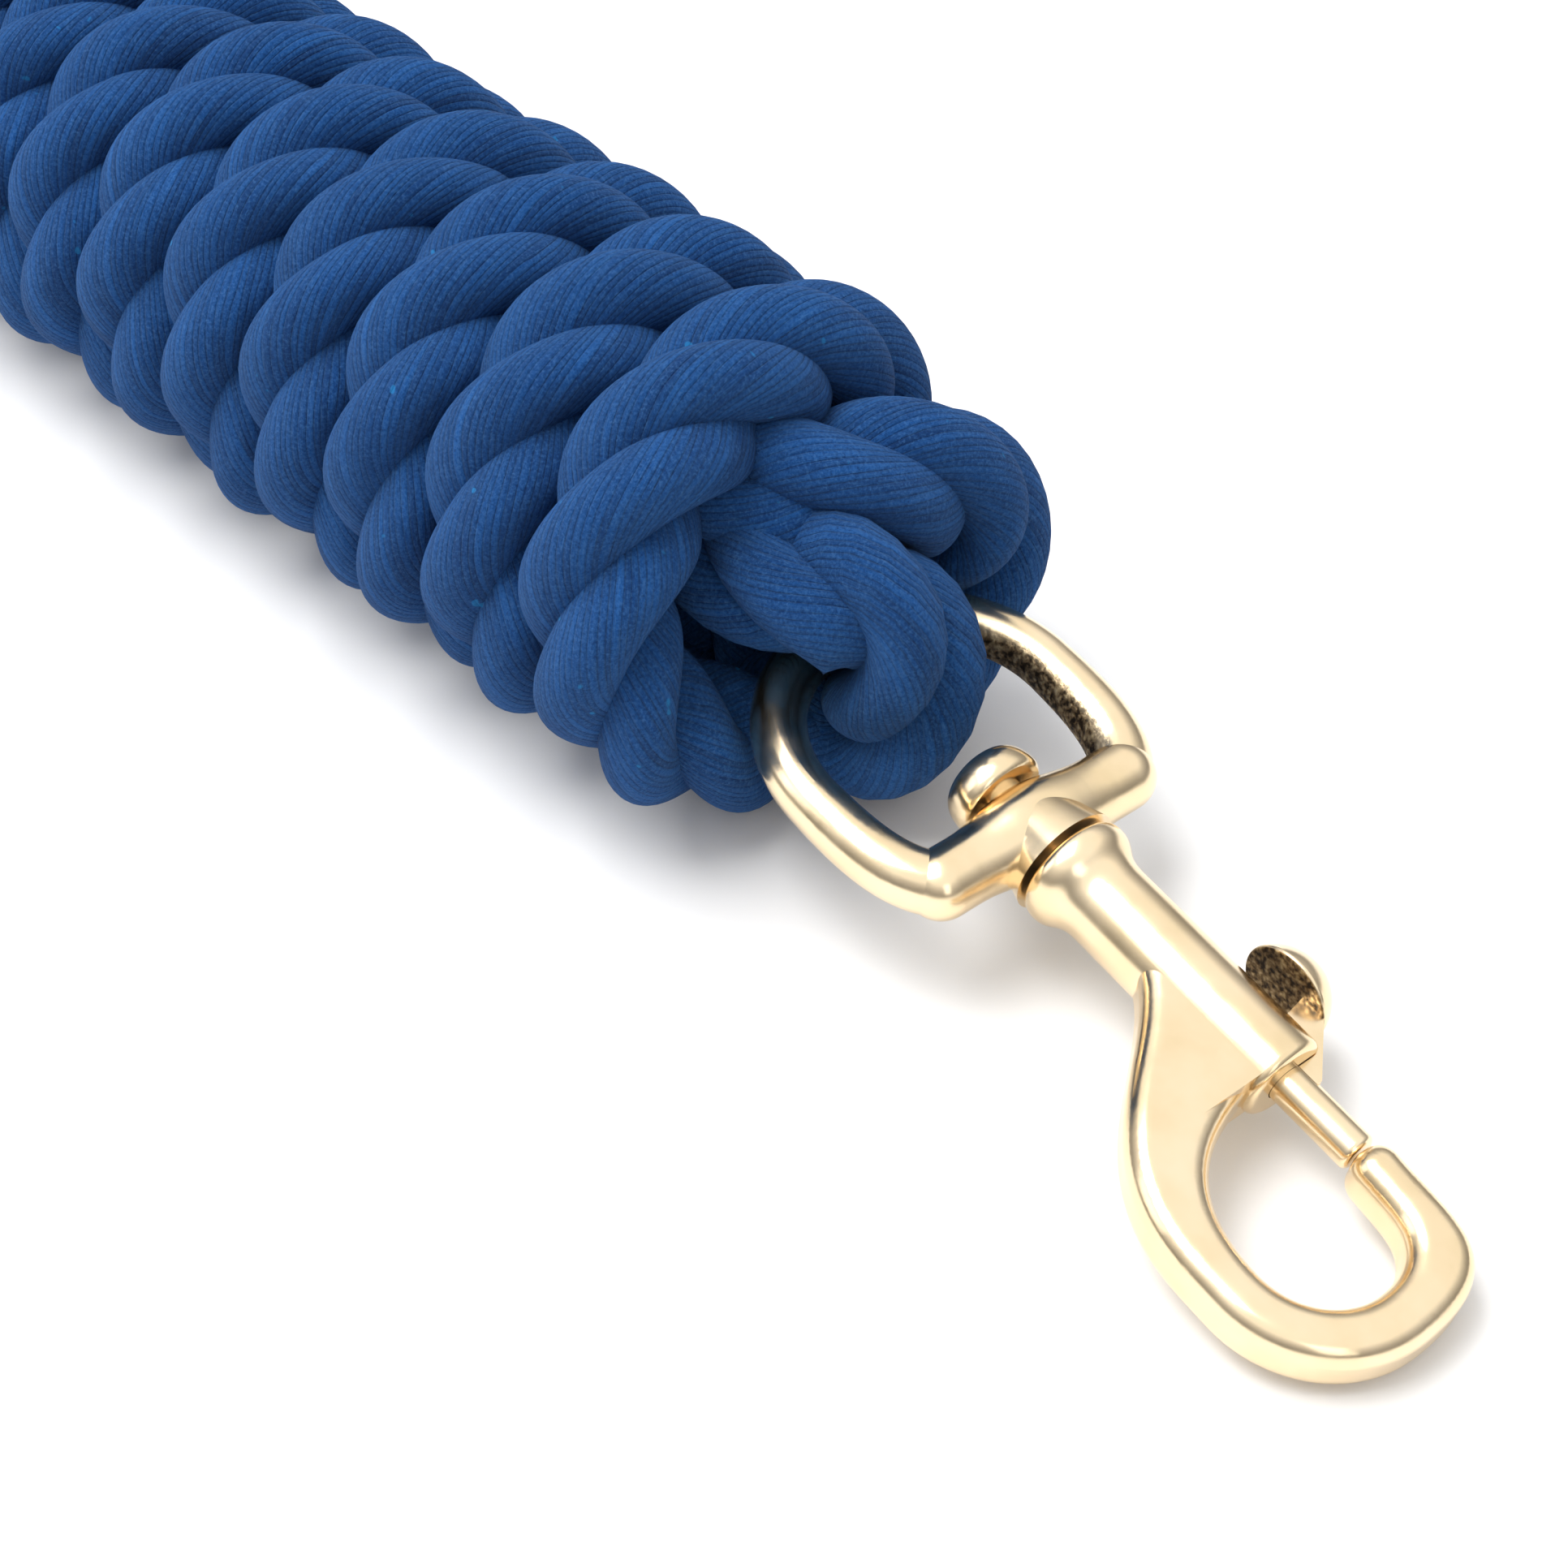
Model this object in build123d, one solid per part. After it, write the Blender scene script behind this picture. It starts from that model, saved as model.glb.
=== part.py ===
"""Cotton lead rope wound into a hank, with a swivel-eye bolt snap on its end.

Row frame, millimetres: +X along the hank towards the snap, +Z up, origin at the
middle of the hank's flat underside. The snap is drawn in its own frame, with X
along the bolt's axis from the collar's face towards the hook, Y across the hook
and Z out of its flat side, and is then laid down from the rope's eye to the
surface that the hank rests on.
"""
import os
from math import asin, degrees, pi, radians, sqrt, tan

from build123d import *

os.makedirs("parts", exist_ok=True)

# ---- Rope and hank
rope_diameter = 19.0        # three-strand cotton, three quarters of an inch
wrap_count = 14             # turns laid side by side round the core
hank_width = 69.0           # outer width of a turn, along Y
hank_height = 64.0          # outer height of a turn, above the flat underside
flat_depth = 1.2            # how far the soft underside is pressed flat
first_turn_proud = 6.0      # the first turn's centre beyond the hank's end face
first_turn_low = -10.0      # its stretch round the oval, in degrees up from +Y
first_turn_high = 95.0

# ---- Rope eye at the near end, bight and tail at the far end
loop_clearance = 0.3        # rope to the eye's bar
loop_offset = 0.3           # the rope eye's middle, along Y
loop_lead = 0.9             # from the hank's end face to the eye's bar
bight_reach = 56.0          # how far the far bight stands out of the hank
bight_lead = 9.0            # the legs' straight start, out of the hank
bight_waist = 0.4           # where its legs are widest apart, as a share of its reach
bight_bend = 0.8            # the legs' distance at its end, as a share of its width
tail_clearance = 4.0        # tail to each leg of the bight that it passes through
bend_share = 0.45           # how much of a route's shorter run each bend takes up
floor_gap = 0.2             # rope that is not compressed, above the surface
whipping_length = 16.0
whipping_wall = 0.9         # the twine's depth; the rope under it is squeezed by as much
end_stub = 3.0              # rope showing past its whipping

# ---- Swivel eye
eye_bar = 6.8               # diameter of the eye's round bar
eye_radius = 18.5           # centreline of the eye's arch
eye_corner = 13.9           # half the cross-bar's length, between its corners
arm_end = 7.6               # thickness of the eye's arms where they reach the cross-bar
cross_bar = 8.4             # cross-bar thickness at its corners
hub_diameter = 11.0         # cross-bar thickness round the swivel
hub_flat = 0.8              # how far its face under the swivel's head is cut flat
boss_diameter = 14.2        # the cross-bar's face towards the collar
boss_depth = 5.5
loop_to_head = 2.9          # the rope eye's front to the swivel's head
swivel_gap = 0.5            # cross-bar to collar, and cross-bar to head
swivel_clearance = 0.1      # stem to hole, on the radius

# ---- Hook body
stem_diameter = 6.0
head_diameter = 11.8
head_height = 5.3
head_edge = 0.5             # how far the head's underside is smaller than its bulge
collar_diameter = 14.0
collar_length = 7.0
collar_rim = 0.9            # how far the collar's face is smaller than its bulge
shank_diameter = 10.8
barrel_length = 35.2        # collar's face to the barrel's mouth
gate_gap = 11.3             # barrel's mouth to the hook's tip
tip_above = 1.7             # the hook's tip, from the bolt's axis outwards
tip_below = 3.1             # and inwards
hook_thickness = 7.6
bow_inner = 8.8             # radius of the hook's inside
bow_band = 6.3              # width of the hook round its bow
bow_across = 11.2           # bow's centre from the bolt's axis
bow_past_tip = 4.0          # bow's centre beyond the hook's tip
flare_start = 9.0           # where the shank begins to widen
flare_handle = 24.8         # how softly it does
edge_rounding = 2.6
tip_rounding = 2.4
mouth_rounding = 1.0
mouth_lean = 2.4            # how far the hook's inside leans from the mouth towards the bow

# ---- Bolt, thumb piece and spring
bolt_diameter = 4.7
bolt_clearance = 0.1        # bolt to bore, on the radius
bolt_rear = 25.0            # collar's face to the bolt's rear end
bolt_travel = 10.0
tip_gap = 0.25              # bolt to the hook's tip when closed
bolt_rounding = 0.7         # at the bolt's front end
bore_start = 9.0            # collar's face to the bottom of the bore
slot_clearance = 0.3        # thumb piece to slot, each side and at its end
thumb_width = 3.8
thumb_diameter = 12.0
thumb_height = 4.9
thumb_centre = 27.0         # collar's face to the middle of the thumb piece
thumb_gap = 2.6             # barrel to the underside of the thumb piece
thumb_root = 5.5            # its arm's rear, back from the barrel's mouth
thumb_neck = 2.8            # its arm's front, past the barrel's mouth
thumb_rim = 0.35            # rounding of its rim
spring_wire = 0.6
spring_turns = 7

# ---- How the snap lies
snap_yaw = -4.3             # degrees from the hank's length

# ---- Worked out from the above
rope_radius = rope_diameter / 2
hank_length = wrap_count * rope_diameter
hank_end = hank_length / 2
oval_half_height = (hank_height + flat_depth) / 2
oval_middle = oval_half_height - flat_depth
loop_radius = eye_bar / 2 + loop_clearance + rope_radius
arch_height = loop_radius + rope_radius + floor_gap
arch_x = hank_end + loop_lead + eye_bar / 2
bight_half = rope_diameter + tail_clearance
hub_depth = hub_diameter - hub_flat
eye_reach = loop_radius + rope_radius + loop_to_head + head_height + hub_depth + 2 * swivel_gap
arch_centre = -eye_reach + eye_radius
cross_centre = -swivel_gap - hub_diameter / 2
shank_radius = shank_diameter / 2
tip_start = barrel_length + gate_gap
bow_along = tip_start + bow_past_tip
bow_outer = bow_inner + bow_band
bolt_front = tip_start - tip_gap
bore_radius = bolt_diameter / 2 + bolt_clearance
thumb_lift = shank_radius + thumb_gap
arm_start = barrel_length - thumb_root
snap_length = eye_reach + bow_along + bow_outer
snap_tilt = degrees(asin((arch_height - hook_thickness / 2 - floor_gap) / snap_length))
snap_place = (Pos(arch_x, loop_offset, arch_height) * Rot(0, 0, snap_yaw) * Rot(0, snap_tilt, 0)
              * Pos(eye_reach, 0, 0))


def disc_on_x(start, radius, length, end_radius=None):
    """A cylinder, or a cone, along X from the plane at start."""
    align = (Align.CENTER, Align.CENTER, Align.MIN)
    if end_radius is None:
        solid = Cylinder(radius, length, align=align)
    else:
        solid = Cone(radius, end_radius, length, align=align)
    return Pos(start, 0, 0) * Rot(0, 90, 0) * solid


def corner_radii(points):
    """The largest fair radius at each inner corner of a cord's route."""
    radii = []
    for before, here, after in zip(points, points[1:], points[2:]):
        run_in = Vector(here) - Vector(before)
        run_out = Vector(after) - Vector(here)
        half_turn = radians(run_in.get_angle(run_out)) / 2
        radii.append(bend_share * min(run_in.length, run_out.length) / tan(half_turn))
    return radii


def cord_tube(points, radii, tube_radius=rope_radius):
    """A round tube of straight runs joined by tangent arcs."""
    route = FilletPolyline(*points, radius=radii)
    return sweep(Plane(route @ 0, z_dir=route % 0) * Circle(tube_radius), path=route)


def eye_loop_tube(tube_radius):
    """Out of the hank over the eye's bar, round it and back in below it."""
    reach = arch_x + loop_radius
    top = arch_height + loop_radius
    bottom = arch_height - loop_radius
    points = [(hank_end, loop_offset, top), (reach, loop_offset, top),
              (reach, loop_offset, bottom), (hank_end, loop_offset, bottom)]
    bend = 0.999 * loop_radius
    return cord_tube(points, [bend, bend], tube_radius)


# ---- Rope

def eye_room():
    """Room for the eye's arch as it slides round in the rope's eye."""
    return snap_place * Pos(arch_centre, 0, 0) * Torus(eye_radius, eye_bar / 2 + loop_clearance)


def first_turn():
    """The first turn, where it leaves the core and crosses the hank's near end."""
    plane = Plane((hank_end + first_turn_proud, 0, oval_middle), x_dir=(0, 1, 0), z_dir=(1, 0, 0))
    arc = Edge.make_ellipse(hank_width / 2 - rope_radius, oval_half_height - rope_radius, plane=plane,
                            start_angle=first_turn_low, end_angle=first_turn_high)
    turn = sweep(Plane(arc @ 0, z_dir=arc % 0) * Circle(rope_radius), path=arc)
    return turn - eye_loop_tube(rope_radius + loop_clearance) - eye_room()


def rope_hank():
    """The outer shape of the wound turns, pressed flat below."""
    oval = Plane.YZ.offset(-hank_end) * Pos(0, oval_middle) * Ellipse(hank_width / 2, oval_half_height)
    turns = extrude(oval, hank_length) + first_turn()
    below = Box(4 * hank_length, 4 * hank_width, 4 * hank_height,
                align=(Align.CENTER, Align.CENTER, Align.MAX))
    return turns - below


def rope_eye_loop():
    """The rope's eye, round the swivel eye's bar."""
    return eye_loop_tube(rope_radius)


def rope_far_bight():
    """The core's return bend, a bight that stands out of the hank's far end."""
    leg = rope_radius + loop_clearance
    start = -hank_end
    side = [(start, leg, oval_middle), (start - bight_lead, leg, oval_middle),
            (start - bight_waist * bight_reach, bight_half, oval_middle),
            (start - bight_reach, bight_bend * bight_half, oval_middle)]
    points = side + [(x, -y, z) for x, y, z in reversed(side)]
    return cord_tube(points, corner_radii(points))


def tail_points():
    """Off the top of the last turn, down through the bight and out along the surface."""
    top = hank_height - rope_radius - loop_clearance
    rest = rope_radius + floor_gap
    steps = [(0, 0, top), (-13, 0, top), (-27, 0, 46), (-32, 0.5, 29), (-38, 5, 14),
             (-52, 19, rest + 0.1), (-62, 42, rest), (-62, 62, rest)]
    return [(-hank_end + x, y, z) for x, y, z in steps]


def rope_tail():
    """The last turn's end."""
    tube = cord_tube(tail_points(), corner_radii(tail_points()))
    return tube + extrude(end_face() * Circle(rope_radius - whipping_wall), whipping_length + end_stub)


def end_face():
    """Where the tail's full thickness ends and its whipping begins."""
    before, end = tail_points()[-2:]
    return Plane(end, z_dir=Vector(end) - Vector(before))


def end_whipping():
    """Twine bound tightly round the rope's end."""
    ring = Circle(rope_radius) - Circle(rope_radius - whipping_wall)
    return extrude(end_face() * ring, whipping_length)


# ---- Snap

def half_bar():
    """Half of the eye: its arch's quarter, and an arm that thickens towards the cross-bar."""
    side = eye_radius * sqrt(0.5)
    top = (arch_centre - eye_radius, 0)
    widest = (arch_centre, eye_radius)
    corner = (cross_centre, eye_corner)
    bar = eye_bar / 2
    quarter = ThreePointArc(top, (arch_centre - side, side), widest)
    arch = sweep(Plane(top, z_dir=(0, 1, 0)) * Circle(bar), path=quarter)
    arm_line = Spline(widest, corner, tangents=[(1, 0), (0.8, -1)])
    sections = []
    for share in (0, 0.25, 0.5, 0.75, 1):
        girth = bar + share * (arm_end / 2 - bar)
        sections.append(Plane(arm_line @ share, z_dir=arm_line % share) * Circle(girth))
    return arch + loft(sections) + Pos(corner) * Sphere(cross_bar / 2)


def swivel_eye():
    """Round bar bent into a stirrup, with a thick cross-bar bored for the swivel."""
    thick = hub_diameter / 2
    thin = cross_bar / 2
    profile = make_face([
        Line((0, 0), (0, thick)),
        Spline((0, thick), (0.75 * eye_corner, thin), tangents=[(1, 0), (1, 0)]),
        Line((0.75 * eye_corner, thin), (eye_corner, thin)),
        Line((eye_corner, thin), (eye_corner, 0)),
        Line((eye_corner, 0), (0, 0)),
    ])
    half = half_bar() + Pos(cross_centre, 0, 0) * Rot(0, 0, 90) * revolve(profile, Axis.X)
    face = -swivel_gap
    boss = disc_on_x(face - boss_depth, thick, boss_depth, boss_diameter / 2)
    under_head = disc_on_x(face - hub_diameter, head_diameter / 2 + swivel_gap, hub_flat)
    hole = disc_on_x(face - hub_diameter, stem_diameter / 2 + swivel_clearance, 2 * hub_diameter)
    beyond = disc_on_x(face, hub_diameter, hub_diameter)
    return half + mirror(half, Plane.XZ) + boss - under_head - hole - beyond


def turned_body():
    """What is round about the bolt's axis: swivel head, stem, collar and barrel."""
    stem = stem_diameter / 2
    head = head_diameter / 2
    collar = collar_diameter / 2
    under = -hub_depth - 2 * swivel_gap
    top = under - head_height
    corner = barrel_length - mouth_rounding
    bevel = mouth_rounding * (1 - sqrt(0.5))
    profile = make_face([
        Line((top, 0), (barrel_length, 0)),
        Line((barrel_length, 0), (barrel_length, shank_radius - mouth_rounding)),
        ThreePointArc((barrel_length, shank_radius - mouth_rounding),
                      (barrel_length - bevel, shank_radius - bevel), (corner, shank_radius)),
        Line((corner, shank_radius), (collar_length, shank_radius)),
        Spline((collar_length, shank_radius), (collar_length / 3, collar), (0, collar - collar_rim),
               tangents=[(-1, 0), (-0.3, -1)]),
        Line((0, collar - collar_rim), (0, stem)),
        Line((0, stem), (under, stem)),
        Line((under, stem), (under, head - head_edge)),
        Spline((under, head - head_edge), (under - head_height / 3, head), (top, 0),
               tangents=[(-0.6, 1), (0, -1)]),
    ])
    return revolve(profile, Axis.X)


def hook_outline():
    """Plan of the flat casting, from inside the barrel round the bow to the hook's tip."""
    low = -bow_across - bow_outer
    inner_low = -bow_across - bow_inner
    side = bow_outer * sqrt(0.5)
    inner_side = bow_inner * sqrt(0.5)
    within = shank_radius / 2
    outer_end = (bow_along + bow_outer, -bow_across)
    inner_end = (bow_along + bow_inner, -bow_across)
    outer_start = (bow_along - bow_past_tip, low)
    lip = barrel_length - mouth_rounding
    outline = make_face([
        Line((flare_start, within), (flare_start, -within)),
        Bezier((flare_start, -within), (flare_handle, -within), (flare_handle, low), outer_start),
        Line(outer_start, (bow_along, low)),
        ThreePointArc((bow_along, low), (bow_along + side, -bow_across - side), outer_end),
        Spline(outer_end, (bow_along + 2 * bow_outer / 3, tip_above / 2), (bow_along, tip_above + 0.4),
               (tip_start, tip_above), tangents=[(0, 1), (-1, -0.4)]),
        Line((tip_start, tip_above), (tip_start, -tip_below)),
        Spline((tip_start, -tip_below), (bow_along + inner_side, inner_side - bow_across), inner_end,
               tangents=[(1, -0.15), (0, -1)]),
        ThreePointArc(inner_end, (bow_along + inner_side, -bow_across - inner_side),
                      (bow_along, inner_low)),
        Bezier((bow_along, inner_low), (barrel_length + gate_gap / 2, inner_low),
               (lip + mouth_lean, 0.75 * inner_low), (lip, -shank_radius)),
        Line((lip, -shank_radius), (lip, within)),
        Line((lip, within), (flare_start, within)),
    ])
    tip_corners = [corner for corner in outline.vertices() if abs(corner.X - tip_start) < 0.01]
    return fillet(tip_corners, tip_rounding)


def flat_casting():
    """The hook, flat on both sides, with its edges well rounded."""
    casting = extrude(hook_outline(), hook_thickness / 2, both=True)

    def shows(line):
        middle = line.center()
        on_a_side = abs(abs(middle.Z) - hook_thickness / 2) < 0.001
        near_barrel = middle.X < barrel_length + 0.1 and middle.Y > -shank_radius
        return on_a_side and not (near_barrel and line.geom_type == GeomType.LINE)

    return fillet([line for line in casting.edges() if shows(line)], edge_rounding)


def hook_body():
    """Swivel stem, barrel and hook in one casting, bored and slotted for the bolt."""
    past_mouth = barrel_length + slot_clearance
    bore = disc_on_x(bore_start, bore_radius, past_mouth - bore_start)
    slot_start = arm_start - bolt_travel - slot_clearance
    slot_width = thumb_width + 2 * slot_clearance
    slot = Pos(slot_start, 0, 0) * Box(past_mouth - slot_start, shank_diameter, slot_width,
                                       align=(Align.MIN, Align.MIN, Align.CENTER))
    return turned_body() + flat_casting() - bore - slot


def bolt_plunger():
    """The sliding bolt, with the thumb piece that draws it back."""
    radius = bolt_diameter / 2
    rod = disc_on_x(bolt_rear, radius, bolt_front - bolt_rear)
    front = [ring for ring in rod.edges() if abs(ring.center().X - bolt_front) < 0.001]
    rod = fillet(front, bolt_rounding)
    neck_end = barrel_length + thumb_neck
    cap_edge = thumb_centre + thumb_diameter / 2
    under = thumb_lift + 0.1
    plan = Polyline((arm_start, 0), (neck_end, 0), (neck_end, radius - 0.2),
                    (cap_edge - 0.5, under), (cap_edge - thumb_width, under),
                    (arm_start, shank_radius), close=True)
    arm_plan = make_face(plan)
    arm = extrude(arm_plan, thumb_width / 2, both=True)
    ball = (thumb_diameter**2 / 4 + thumb_height**2) / (2 * thumb_height)
    above = Pos(thumb_centre, thumb_lift, 0) * Box(2 * thumb_diameter, thumb_diameter, 2 * thumb_diameter,
                                                   align=(Align.CENTER, Align.MIN, Align.CENTER))
    cap = Pos(thumb_centre, thumb_lift + thumb_height - ball, 0) * Sphere(ball) & above
    rim = [line for line in cap.edges() if line.length > thumb_diameter]
    return rod + arm + fillet(rim, thumb_rim)


def bolt_spring():
    """Compression spring behind the bolt."""
    length = bolt_rear - bore_start - 2 * spring_wire
    coil_radius = bolt_diameter / 2 - spring_wire
    helix = Helix(length / spring_turns, length, coil_radius)
    wire = sweep(Plane(helix @ 0, z_dir=helix % 0) * Circle(spring_wire / 2), path=helix)
    return Pos(bore_start + spring_wire, 0, 0) * Rot(0, 90, 0) * wire


rope_parts = [rope_hank, rope_eye_loop, rope_far_bight, rope_tail, end_whipping]
snap_parts = [swivel_eye, hook_body, bolt_plunger, bolt_spring]

for make in rope_parts:
    export_step(make(), f"parts/{make.__name__}.step")
for make in snap_parts:
    export_step(snap_place * make(), f"parts/{make.__name__}.step")
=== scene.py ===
from math import cos, pi, radians, sin, sqrt, tau

import bpy
import numpy as np
from mathutils import Matrix, Vector


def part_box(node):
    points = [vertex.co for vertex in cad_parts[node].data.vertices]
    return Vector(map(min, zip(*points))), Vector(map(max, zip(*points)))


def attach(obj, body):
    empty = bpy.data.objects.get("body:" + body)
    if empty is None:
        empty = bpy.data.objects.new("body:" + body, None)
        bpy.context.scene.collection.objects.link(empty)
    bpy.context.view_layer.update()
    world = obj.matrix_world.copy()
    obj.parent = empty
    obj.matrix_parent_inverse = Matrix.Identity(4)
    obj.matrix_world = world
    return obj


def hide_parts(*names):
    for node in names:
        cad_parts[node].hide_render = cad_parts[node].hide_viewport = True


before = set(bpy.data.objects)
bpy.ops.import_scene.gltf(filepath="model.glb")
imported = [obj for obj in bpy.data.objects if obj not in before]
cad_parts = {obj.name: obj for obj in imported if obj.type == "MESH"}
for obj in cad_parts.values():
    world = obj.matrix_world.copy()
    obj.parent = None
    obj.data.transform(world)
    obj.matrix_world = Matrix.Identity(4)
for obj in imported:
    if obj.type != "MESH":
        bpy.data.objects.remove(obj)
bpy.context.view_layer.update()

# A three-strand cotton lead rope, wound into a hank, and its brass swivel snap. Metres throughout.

MM = 0.001

# ---- Rope, as on the frame
ROPE_DIAMETER = 19 * MM
WRAP_COUNT = 14
HANK_END = 133 * MM
TURN_ACROSS = 25.0 * MM         # a turn's centreline from the hank's middle, along Y
TURN_UP = 22.5 * MM             # the same, along Z
TURN_HEIGHT = 32.3 * MM
TURN_ASIDE = -3.8 * MM          # the wound turns lie a little to one side of the core
TURN_START = 15                 # degrees round the first turn where the first crossing has joined it
TURN_STEP = 22.5                # degrees between the route's points on a turn
TURN_LEAD = 0.5 * MM            # the first turn's start, past the hank's end
LAST_QUARTER = 0.25             # of a turn, past the last one
WHIPPING_LENGTH = 16 * MM
END_STUB = 3 * MM
SQUEEZE = 0.12                  # share of its thickness that the rope loses under the whipping
SQUEEZE_LENGTH = 2 * MM         # rope over which it narrows into the whipping
END_FLARE = 1.5 * MM            # rope over which it opens again at its cut end
CLOSING_LENGTH = 2.5 * MM       # rope over which a strand's end closes

# ---- Strands and yarns
LAY_LENGTH = 45 * MM            # rope length for one turn of a strand
STRAND_RADIUS = 5.35 * MM
STRAND_CENTRE = 4.25 * MM       # strand's centreline from the rope's
POINTS_ROUND_STRAND = 44
YARNS_ROUND_STRAND = 38
STEPS_PER_POINT = 8             # points read from the route for each one given

# ---- Snap
SNAP_MIDDLE = (137.3 * MM, 0.3 * MM, 0)     # a point above or below the middle of its length line
SNAP_SIDE = (0.075, 0.997, 0)               # across it, towards the thumb piece

# ---- Camera
TARGET = Vector((134.06, -6.12, 0)) * MM
DISTANCE = 316.1 * MM
AZIMUTH = radians(48.59)
ELEVATION = radians(43.05)
ROLL = radians(-1.56)
LENS = 57.09

random = np.random.default_rng(11)


# ---- Camera, lights and floor

def link(obj):
    """Put a new object in the scene."""
    bpy.context.scene.collection.objects.link(obj)
    return obj


def make_camera():
    """A camera above the snap, looking down past it along the hank."""
    back = Vector((sin(AZIMUTH) * cos(ELEVATION), -cos(AZIMUTH) * cos(ELEVATION), sin(ELEVATION)))
    right = Vector((cos(AZIMUTH), sin(AZIMUTH), 0))
    up = back.cross(right)
    right, up = right * cos(ROLL) + up * sin(ROLL), up * cos(ROLL) - right * sin(ROLL)
    data = bpy.data.cameras.new("camera")
    data.lens = LENS
    data.clip_start = 0.01
    camera = link(bpy.data.objects.new("camera", data))
    turn = Matrix((right, up, back)).transposed().to_4x4()
    camera.matrix_world = Matrix.Translation(TARGET + back * DISTANCE) @ turn
    bpy.context.scene.camera = camera


def area_light(name, place, aim, size, power):
    """A rectangular soft light at place, turned towards aim."""
    data = bpy.data.lights.new(name, "AREA")
    data.shape = "RECTANGLE"
    data.size, data.size_y = size
    data.energy = power
    light = link(bpy.data.objects.new(name, data))
    light.location = place
    light.rotation_euler = (Vector(place) - Vector(aim)).to_track_quat("Z", "Y").to_euler()


def make_studio():
    """Soft lights, a sky that is darkest a little above the horizon, and a plain pale floor."""
    middle = (0.1, 0, 0.02)
    area_light("overhead_softbox", (-0.15, -0.3, 1.0), middle, (0.8, 0.6), 12)
    area_light("front_fill", (-0.55, -0.75, 0.55), middle, (0.5, 0.5), 1)
    area_light("side_fill", (0.95, -0.35, 0.45), middle, (0.3, 0.5), 0.6)
    world = bpy.data.worlds.new("studio")
    world.use_nodes = True
    bpy.context.scene.world = world
    tree = world.node_tree
    up = add_node(tree, "SeparateXYZ", {0: add_node(tree, "TexCoord").outputs["Generated"]}).outputs[2]
    sky = ramp(tree, up, (0.0, (0.5, 0.5, 0.5)), (0.1, (0.24, 0.24, 0.24)), (0.28, (0.36, 0.36, 0.37)),
               (0.5, (0.62, 0.62, 0.63)), (0.68, (1.0, 1.0, 1.0)))
    background = tree.nodes["Background"]
    tree.links.new(sky, background.inputs["Color"])
    background.inputs["Strength"].default_value = 1.12

    bpy.ops.mesh.primitive_plane_add(size=30)
    floor = bpy.context.object
    floor.name = "floor"
    material, tree, shader = new_material("pale_floor")
    shader.inputs["Base Color"].default_value = (0.82, 0.82, 0.82, 1)
    shader.inputs["Roughness"].default_value = 0.9
    floor.data.materials.append(material)


# ---- Node helpers

def new_material(name):
    """A material with its node tree and its shader node."""
    material = bpy.data.materials.new(name)
    material.use_nodes = True
    tree = material.node_tree
    return material, tree, tree.nodes["Principled BSDF"]


def add_node(tree, kind, inputs=(), **settings):
    """A shader node with its settings, and its inputs by name or number, linked or set."""
    made = tree.nodes.new("ShaderNode" + kind)
    for key, value in settings.items():
        setattr(made, key, value)
    for key, value in dict(inputs).items():
        if isinstance(value, bpy.types.NodeSocket):
            tree.links.new(value, made.inputs[key])
        else:
            made.inputs[key].default_value = value
    return made


def math(tree, operation, a, b=0.0, c=0.0):
    """One step of arithmetic on numbers or outputs."""
    return add_node(tree, "Math", {0: a, 1: b, 2: c}, operation=operation).outputs[0]


def noise(tree, place, scale, detail, roughness=0.5):
    """Cloud noise, as a number that is mostly between 0.3 and 0.7."""
    inputs = {"Vector": place, "Scale": scale, "Detail": detail, "Roughness": roughness}
    return add_node(tree, "TexNoise", inputs).outputs[0]


def remap(tree, value, low, high, start=0.0, end=1.0):
    """The value's run from low to high, moved to run from start to end and held at its ends."""
    return add_node(tree, "MapRange", {0: value, 1: low, 2: high, 3: start, 4: end}).outputs[0]


def plane_vector(tree, x, y):
    """A vector from two numbers."""
    return add_node(tree, "CombineXYZ", {0: x, 1: y}).outputs[0]


def object_place(tree):
    """The shaded point in the object's own coordinates, so that patterns ride with it."""
    return add_node(tree, "TexCoord").outputs["Object"]


def dot(tree, vector, direction):
    """How far a vector goes along a fixed direction."""
    return add_node(tree, "VectorMath", {0: vector, 1: direction}, operation="DOT_PRODUCT").outputs["Value"]


def add_bump(tree, shader, height, strength, distance):
    """Small relief on the surface, from a height."""
    bump = add_node(tree, "Bump", {"Strength": strength, "Distance": distance, "Height": height})
    tree.links.new(bump.outputs[0], shader.inputs["Normal"])


def ramp(tree, factor, *stops):
    """A colour ramp from (position, colour) stops, read as a colour."""
    made = add_node(tree, "ValToRGB", {0: factor})
    elements = made.color_ramp.elements
    while len(elements) < len(stops):
        elements.new(0.5)
    for element, (position, colour) in zip(elements, stops):
        element.position = position
        element.color = (*colour, 1)
    return made.outputs[0]


def mix_colour(tree, factor, a, b):
    """From colour a to colour b by a factor."""
    return add_node(tree, "Mix", {0: factor, 6: a, 7: b}, data_type="RGBA").outputs[2]


def srgb(*values):
    """Linear colour from display values of 0 to 255."""
    shares = [value / 255 for value in values]
    return tuple(s / 12.92 if s <= 0.04045 else ((s + 0.055) / 1.055) ** 2.4 for s in shares)


# ---- Rope route, in millimetres on the frame's axes, from the eye splice to the whipped end

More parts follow.
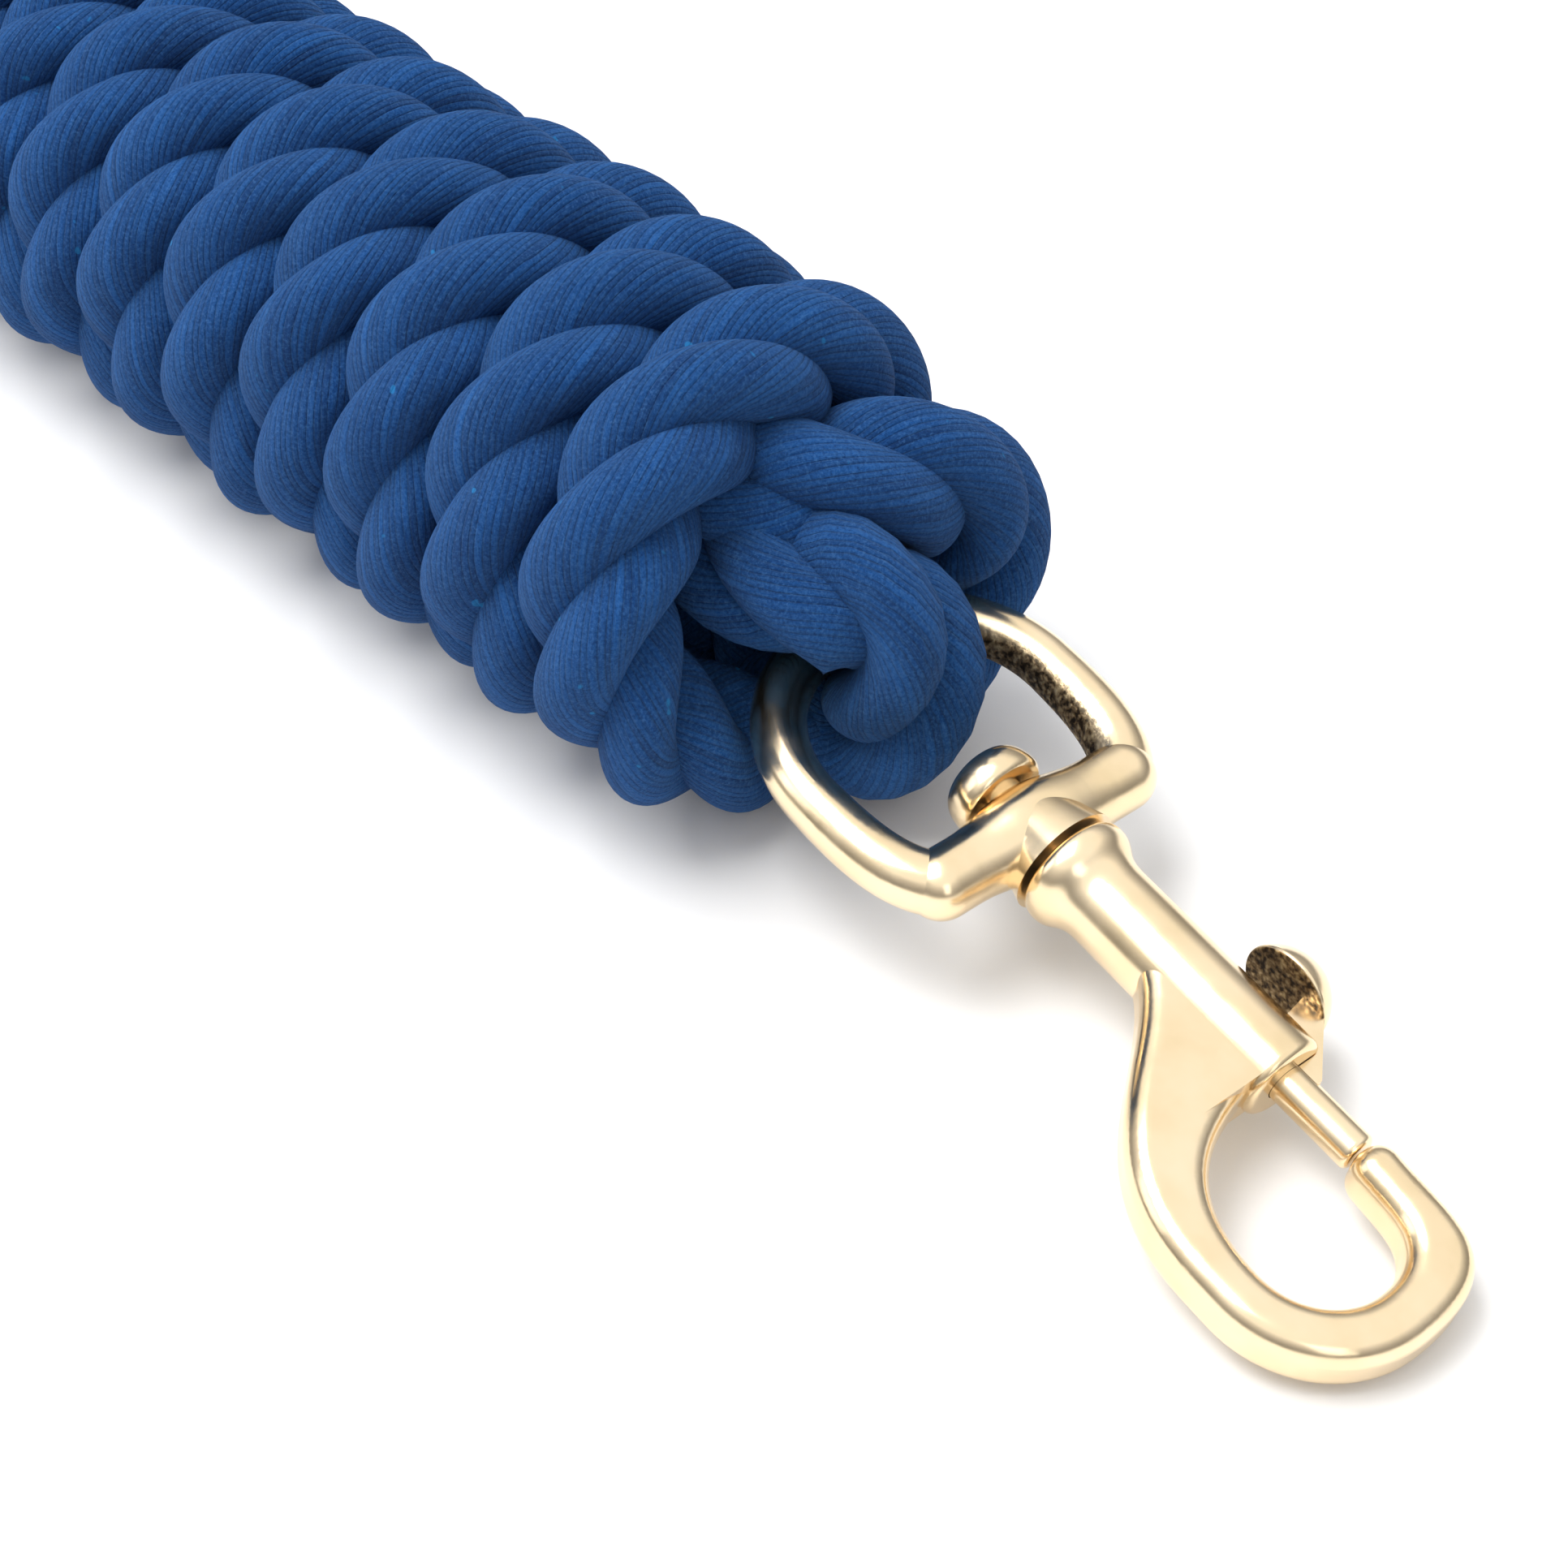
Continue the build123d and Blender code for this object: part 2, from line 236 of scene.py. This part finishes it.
EYE_SPLICE = [(70, 2, 24), (88, 1.8, 22.5), (104, 1.5, 19), (119, 1.2, 13)]
EYE_LOOP = [(133, 0.5, 10), (148.2, 1, 10.4), (151, -2, 37.5), (134, -10, 35.5)]
CORE_OUT = [(112, -4, 34), (85, 7, 33.5), (20, 8, 33), (-60, 8, 32.5), (-110, 8.6, 31.8)]
FAR_BIGHT = [(-133, 9.8, 31.4), (-142, 9.8, 31.4), (-155.4, 23, 31.4), (-189, 18.4, 31.4),
             (-189, -18.4, 31.4), (-155.4, -23, 31.4), (-142, -9.8, 31.4), (-133, -9.8, 31.4)]
CORE_BACK = [(-110, -8.6, 31.8), (-60, -8, 32.5), (20, -8, 33), (70, -7, 33.2), (100, -6.5, 33.5)]
FIRST_CROSSING = [(117, -8.5, 40), (129, -6, 43), (136.5, 2, 44.5), (139.8, 12, 42.5),
                  (139.8, 20.5, 35.5), (139.3, 22.3, 24.5), (138.2, 16.5, 12.5), (135.4, 4.5, 9.2)]
TAIL = [(-133, 0, 54.2), (-146, 0, 54.2), (-160, 0, 46), (-165, 0.5, 29), (-171, 5, 14),
        (-185, 19, 9.8), (-195, 42, 9.7), (-195, 62, 9.7), (-195, 81, 9.7)]


def wound_turns():
    """The turns' points, and the quarter turn that leads the last one up to the tail."""
    pitch = ROPE_DIAMETER / 360
    outward = 1 / cos(radians(TURN_STEP) / 2)
    points = []
    for angle in np.arange(TURN_START, (WRAP_COUNT + LAST_QUARTER) * 360, TURN_STEP):
        turned = radians(angle)
        points.append((HANK_END + TURN_LEAD - pitch * angle,
                       TURN_ASIDE - outward * TURN_ACROSS * sin(turned),
                       TURN_HEIGHT - outward * TURN_UP * cos(turned)))
    return points


def rope_route():
    """The whole rope's control points, from the eye splice to the whipped end."""
    def metres(points):
        return [tuple(MM * value for value in point) for point in points]
    before_turns = EYE_SPLICE + EYE_LOOP + CORE_OUT + FAR_BIGHT + CORE_BACK + FIRST_CROSSING
    return metres(before_turns) + wound_turns() + metres(TAIL)


def smooth_line(points, steps):
    """Points read from one open NURBS spline of order 3 through its end points."""
    data = bpy.data.curves.new("rope_route", "CURVE")
    data.dimensions = "3D"
    data.resolution_u = steps
    spline = data.splines.new("NURBS")
    spline.points.add(len(points) - 1)
    for control, point in zip(spline.points, points):
        control.co = (*point, 1)
    spline.order_u = 3
    spline.use_endpoint_u = True
    route = link(bpy.data.objects.new("rope_route", data))
    graph = bpy.context.evaluated_depsgraph_get()
    mesh = bpy.data.meshes.new_from_object(route.evaluated_get(graph), depsgraph=graph)
    line = np.array([vertex.co for vertex in mesh.vertices])
    bpy.data.objects.remove(route)
    bpy.data.meshes.remove(mesh)
    return line


def travelled(line):
    """Length along the line to each of its points."""
    steps = np.linalg.norm(np.diff(line, axis=0), axis=1)
    return np.concatenate([[0], np.cumsum(steps)])


def carried_frames(line):
    """Tangent, normal and binormal at each point, carried along without twist."""
    tangents = np.gradient(line, axis=0)
    tangents /= np.linalg.norm(tangents, axis=1)[:, None]
    normal = np.cross(tangents[0], (0, 0, 1))
    normals = []
    for tangent in tangents:
        normal = normal - tangent * (normal @ tangent)
        normal /= np.linalg.norm(normal)
        normals.append(normal)
    normals = np.array(normals)
    return tangents, normals, np.cross(tangents, normals)


def soft_waves(along, around, count, longest, size):
    """Smooth random waves over a strand's surface, as hand-laid cotton has."""
    total = np.zeros(np.broadcast(along, around).shape)
    for _ in range(count):
        wave_length = longest * random.uniform(0.35, 1)
        turns = random.integers(0, 3)
        total += np.sin(tau * along / wave_length + turns * around + random.uniform(0, tau))
    return size * total / sqrt(count)


# ---- Rope

def strand_surface(line, frames, along, phase, radius, centre):
    """One strand's surface, a ring of points at each point of the rope's line."""
    _, normals, binormals = frames
    yarn_twist = tau / LAY_LENGTH * (STRAND_RADIUS + STRAND_CENTRE) / STRAND_RADIUS
    lay = tau * along / LAY_LENGTH + phase
    outward = np.cos(lay)[:, None] * normals + np.sin(lay)[:, None] * binormals
    sideways = np.cos(lay)[:, None] * binormals - np.sin(lay)[:, None] * normals
    middle = line + centre[:, None] * outward
    ring = np.linspace(0, tau, POINTS_ROUND_STRAND, endpoint=False)
    around = ring[None, :] - yarn_twist * along[:, None]
    bulge = soft_waves(along[:, None], around, count=9, longest=0.05, size=0.17 * MM)
    reach = radius[:, None] + bulge * (radius[:, None] / STRAND_RADIUS)
    across = (reach * np.cos(around))[:, :, None] * outward[:, None, :]
    aside = (reach * np.sin(around))[:, :, None] * sideways[:, None, :]
    return middle[:, None, :] + across + aside


def ring_mesh(name, surfaces, along, turns_of_u):
    """A mesh of closed tubes from rings of points, with U round each tube and V along it."""
    vertices = []
    faces = []
    uvs = []
    offset = 0
    for surface in surfaces:
        rings, round_count, _ = surface.shape
        i, j = np.meshgrid(np.arange(rings - 1), np.arange(round_count), indexing="ij")
        k = (j + 1) % round_count
        corners = np.stack([i * round_count + j, i * round_count + k,
                            (i + 1) * round_count + k, (i + 1) * round_count + j], axis=-1)
        faces.append(offset + corners.reshape(-1, 4))
        u = turns_of_u / round_count
        v = along / ROPE_DIAMETER
        corner_uv = np.stack([np.stack([j * u, v[i]], -1), np.stack([(j + 1) * u, v[i]], -1),
                              np.stack([(j + 1) * u, v[i + 1]], -1), np.stack([j * u, v[i + 1]], -1)], axis=2)
        uvs.append(corner_uv.reshape(-1, 2))
        vertices.append(surface.reshape(-1, 3))
        offset += rings * round_count
    faces = np.concatenate(faces)
    mesh = bpy.data.meshes.new(name)
    mesh.from_pydata(np.concatenate(vertices), [], faces.tolist())
    layer = mesh.uv_layers.new(name="yarn")
    layer.data.foreach_set("uv", np.concatenate(uvs).astype(np.float32).ravel())
    mesh.shade_smooth()
    return link(bpy.data.objects.new(name, mesh))


def make_rope():
    """The whole rope as three twisted strands, thinner under its whipping and closed at both ends."""
    line = smooth_line(rope_route(), STEPS_PER_POINT)
    along = travelled(line)
    frames = carried_frames(line)
    left = along[-1] - along
    under_whipping = np.clip((WHIPPING_LENGTH + END_STUB - left) / SQUEEZE_LENGTH, 0, 1)
    girth = 1 - SQUEEZE * under_whipping * np.clip(left / END_FLARE, 0, 1)
    closing = np.sqrt(np.clip(np.minimum(left, along) / CLOSING_LENGTH, 0.0004, 1))
    radius = STRAND_RADIUS * girth * closing
    centre = STRAND_CENTRE * girth
    surfaces = []
    for phase in (0, tau / 3, 2 * tau / 3):
        surfaces.append(strand_surface(line, frames, along, phase, radius, centre))
    rope = ring_mesh("cotton_rope", surfaces, along, YARNS_ROUND_STRAND)
    rope.data.materials.append(cotton_material())
    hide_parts("rope_hank", "rope_eye_loop", "rope_far_bight", "rope_tail")
    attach(rope, "root")
    return rope, line


def cotton_material():
    """Matt dyed cotton: fine yarns side by side along each strand, with fibres, fuzz and rare light flecks,
    and painted shade darkening the grooves between yarns.
    """
    material, tree, shader = new_material("dyed_cotton")
    uv = add_node(tree, "SeparateXYZ", {0: add_node(tree, "UVMap", uv_map="yarn").outputs[0]}).outputs
    across, along = uv[0], uv[1]
    wander_place = plane_vector(tree, math(tree, "MULTIPLY", across, 0.45), math(tree, "MULTIPLY", along, 1.1))
    wander = noise(tree, wander_place, 1.0, 2.0)
    yarn = math(tree, "MULTIPLY_ADD", math(tree, "SUBTRACT", wander, 0.5), 1.6, across)
    crown = math(tree, "ABSOLUTE", math(tree, "SINE", math(tree, "MULTIPLY", yarn, pi)))
    profile = math(tree, "POWER", crown, 0.4)
    tone_place = plane_vector(tree, math(tree, "FLOOR", yarn), math(tree, "MULTIPLY", along, 0.55))
    tone = noise(tree, tone_place, 1.9, 4.0)
    fibres = noise(tree, plane_vector(tree, math(tree, "MULTIPLY", yarn, 3.0), along), 5.0, 5.0, 0.7)
    place = object_place(tree)
    clouds = noise(tree, place, 55.0, 3.0)
    fuzz = noise(tree, place, 2600.0, 3.0, 0.7)
    fleck = remap(tree, noise(tree, place, 420.0, 1.0), 0.77, 0.8)
    # Painted shade: the grooves between yarns are darkened in the colour, by an amount that varies with the
    # yarns' wander.
    groove_shade_strength = remap(tree, wander, 0.35, 0.65, 0.85, 0.35)
    painted_groove_shade = math(tree, "MULTIPLY", math(tree, "SUBTRACT", 1.0, profile), groove_shade_strength)

    base = ramp(tree, tone, (0.3, srgb(5, 47, 100)), (0.5, srgb(13, 66, 127)), (0.7, srgb(26, 84, 152)))
    base = mix_colour(tree, math(tree, "MULTIPLY", clouds, 0.35), base, (*srgb(32, 76, 130), 1))
    # Painted shade in the grooves between yarns, mixed towards a dark blue.
    base = mix_colour(tree, painted_groove_shade, base, (*srgb(0, 18, 54), 1))
    base = mix_colour(tree, remap(tree, fibres, 0.5, 0.75, 0.0, 0.55), base, (*srgb(70, 114, 164), 1))
    base = mix_colour(tree, remap(tree, fuzz, 0.5, 0.72, 0.0, 0.5), base, (*srgb(66, 112, 166), 1))
    base = mix_colour(tree, remap(tree, fuzz, 0.48, 0.3, 0.0, 0.6), base, (*srgb(4, 34, 78), 1))
    base = mix_colour(tree, fleck, base, (*srgb(32, 112, 172), 1))
    tree.links.new(base, shader.inputs["Base Color"])
    shader.inputs["Roughness"].default_value = 0.92
    shader.inputs["Specular IOR Level"].default_value = 0.15
    shader.inputs["Sheen Weight"].default_value = 0.22
    shader.inputs["Sheen Roughness"].default_value = 0.45
    shader.inputs["Sheen Tint"].default_value = (*srgb(120, 165, 220), 1)
    hairs = math(tree, "ADD", math(tree, "MULTIPLY", fibres, 0.8), math(tree, "MULTIPLY", fuzz, 0.9))
    add_bump(tree, shader, math(tree, "ADD", profile, hairs), 1.0, 0.3 * MM)
    return material


def make_whipping():
    """Twine wound tightly round the rope's end, one turn against the next."""
    twine = 1.15 * MM
    low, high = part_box("end_whipping")
    middle = (low + high) / 2
    start, end = low.y + twine / 2, high.y - twine / 2
    turns = int((end - start) / twine)
    wound = (high.z - low.z) / 2 - twine / 2
    round_count = 40
    points = []
    for step in range(turns * round_count + 1):
        angle = tau * step / round_count
        points.append((middle.x + wound * cos(angle), start + twine * step / round_count,
                       middle.z + wound * sin(angle)))
    data = bpy.data.curves.new("end_twine", "CURVE")
    data.dimensions = "3D"
    data.bevel_depth = twine / 2
    data.bevel_resolution = 3
    data.use_fill_caps = True
    spline = data.splines.new("POLY")
    spline.points.add(len(points) - 1)
    for control, point in zip(spline.points, points):
        control.co = (*point, 1)
    piece = link(bpy.data.objects.new("end_twine", data))
    piece.data.materials.append(twine_material())
    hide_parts("end_whipping")
    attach(piece, "root")
    return piece


def twine_material():
    """Waxed twine, with its plies as fine relief."""
    material, tree, shader = new_material("waxed_twine")
    place = object_place(tree)
    plies = add_node(tree, "TexWave", {"Vector": place, "Scale": 900.0, "Distortion": 2.0}).outputs["Fac"]
    tone = noise(tree, place, 300.0, 4.0)
    base = ramp(tree, tone, (0.3, srgb(20, 44, 92)), (0.7, srgb(34, 66, 124)))
    tree.links.new(base, shader.inputs["Base Color"])
    shader.inputs["Roughness"].default_value = 0.55
    add_bump(tree, shader, plies, 0.6, 0.1 * MM)
    return material


# ---- Metal

def brass_material(name):
    """Polished pale brass, left as cast where no wheel reaches: the faces turned inwards on one side."""
    material, tree, shader = new_material(name)
    place = object_place(tree)
    from_middle = add_node(tree, "VectorMath", {0: place, 1: SNAP_MIDDLE}, operation="SUBTRACT").outputs[0]
    outer = remap(tree, dot(tree, from_middle, SNAP_SIDE), 7 * MM, 8 * MM)
    normal = add_node(tree, "TexCoord").outputs["Normal"]
    inward = remap(tree, dot(tree, normal, SNAP_SIDE), -0.45, -0.8)
    as_cast = math(tree, "MULTIPLY", outer, inward)

    stain = noise(tree, place, 90.0, 5.0)
    polished = ramp(tree, stain, (0.3, srgb(236, 212, 170)), (0.55, srgb(246, 223, 185)),
                    (0.8, srgb(249, 230, 197)))
    pits = noise(tree, place, 1300.0, 4.0)
    pitted = ramp(tree, pits, (0.38, srgb(56, 46, 36)), (0.52, srgb(138, 116, 86)), (0.7, srgb(206, 186, 146)))
    tree.links.new(mix_colour(tree, as_cast, polished, pitted), shader.inputs["Base Color"])
    shader.inputs["Metallic"].default_value = 1.0
    smudged = remap(tree, noise(tree, place, 260.0, 6.0), 0.3, 0.75, 0.16, 0.27)
    roughness = add_node(tree, "Mix", {0: as_cast, 2: smudged, 3: 0.5}).outputs[0]
    tree.links.new(roughness, shader.inputs["Roughness"])
    ripple = noise(tree, place, 170.0, 2.0)
    grain = noise(tree, place, 2200.0, 3.0)
    even = math(tree, "ADD", ripple, math(tree, "MULTIPLY", grain, 0.05))
    height = math(tree, "ADD", even, math(tree, "MULTIPLY", math(tree, "MULTIPLY", pits, as_cast), 4.0))
    add_bump(tree, shader, height, 0.35, 0.12 * MM)
    return material


def steel_material():
    """Drawn spring wire."""
    material, tree, shader = new_material("spring_wire")
    drawn = noise(tree, object_place(tree), 1500.0, 4.0)
    base = ramp(tree, drawn, (0.3, srgb(150, 150, 148)), (0.7, srgb(196, 196, 192)))
    tree.links.new(base, shader.inputs["Base Color"])
    tree.links.new(remap(tree, drawn, 0.0, 1.0, 0.2, 0.42), shader.inputs["Roughness"])
    shader.inputs["Metallic"].default_value = 1.0
    return material


def finish_metal():
    """Put the metal's materials on the CAD pieces that are carried over."""
    finishes = {"swivel_eye": brass_material("polished_brass"), "bolt_spring": steel_material()}
    finishes["hook_body"] = finishes["swivel_eye"]
    finishes["bolt_plunger"] = brass_material("bolt_brass")
    for name, material in finishes.items():
        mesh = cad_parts[name].data
        mesh.materials.clear()
        mesh.materials.append(material)


bpy.context.scene.view_settings.view_transform = "Standard"
make_camera()
rope, rope_line = make_rope()
whipping = make_whipping()
finish_metal()
make_studio()
